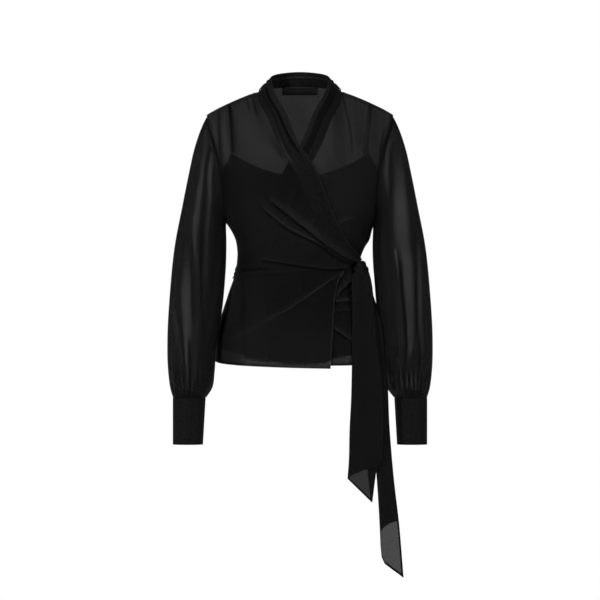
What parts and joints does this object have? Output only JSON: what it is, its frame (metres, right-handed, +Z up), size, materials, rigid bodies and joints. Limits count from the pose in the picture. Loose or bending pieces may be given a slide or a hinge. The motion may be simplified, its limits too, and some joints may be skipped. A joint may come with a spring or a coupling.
{
  "type": "wrap top",
  "caption": "Sheer black long-sleeved wrap top with a crossover band, camisole lining, deep cuffs and a side-tied sash, in its hollow worn form.",
  "frame": {"origin": "where the wearer's neck carries the garment: midway between the two points where the shoulder seams meet the neck band, and level with them", "axes": "+Z up, +X towards the wearer's left, +Y towards the wearer's back; the front faces -Y"},
  "size_m": [0.5344, 0.2433, 1.015],
  "materials": {
    "sheer_georgette": "black sheer crinkled georgette, matt",
    "double_georgette": "black georgette folded double, near opaque, matt",
    "camisole_lining": "black plain woven lining, soft matt",
    "label_satin": "black woven satin, blank"
  },
  "bodies": {
    "root": {"back": "sheer_georgette", "over_front": "sheer_georgette", "under_front": "sheer_georgette", "neck_band_back": "double_georgette", "over_band": "double_georgette", "under_band": "double_georgette", "lining_front": "camisole_lining", "lining_back": "camisole_lining", "strap_right": "camisole_lining", "strap_left": "camisole_lining", "sleeve_right": "sheer_georgette", "sleeve_left": "sheer_georgette", "cuff_right": "double_georgette", "cuff_left": "double_georgette", "waist_tie": "double_georgette", "knot": "double_georgette", "front_tail": "double_georgette", "back_tail": "double_georgette", "neck_label": "label_satin"}
  },
  "joints": []
}
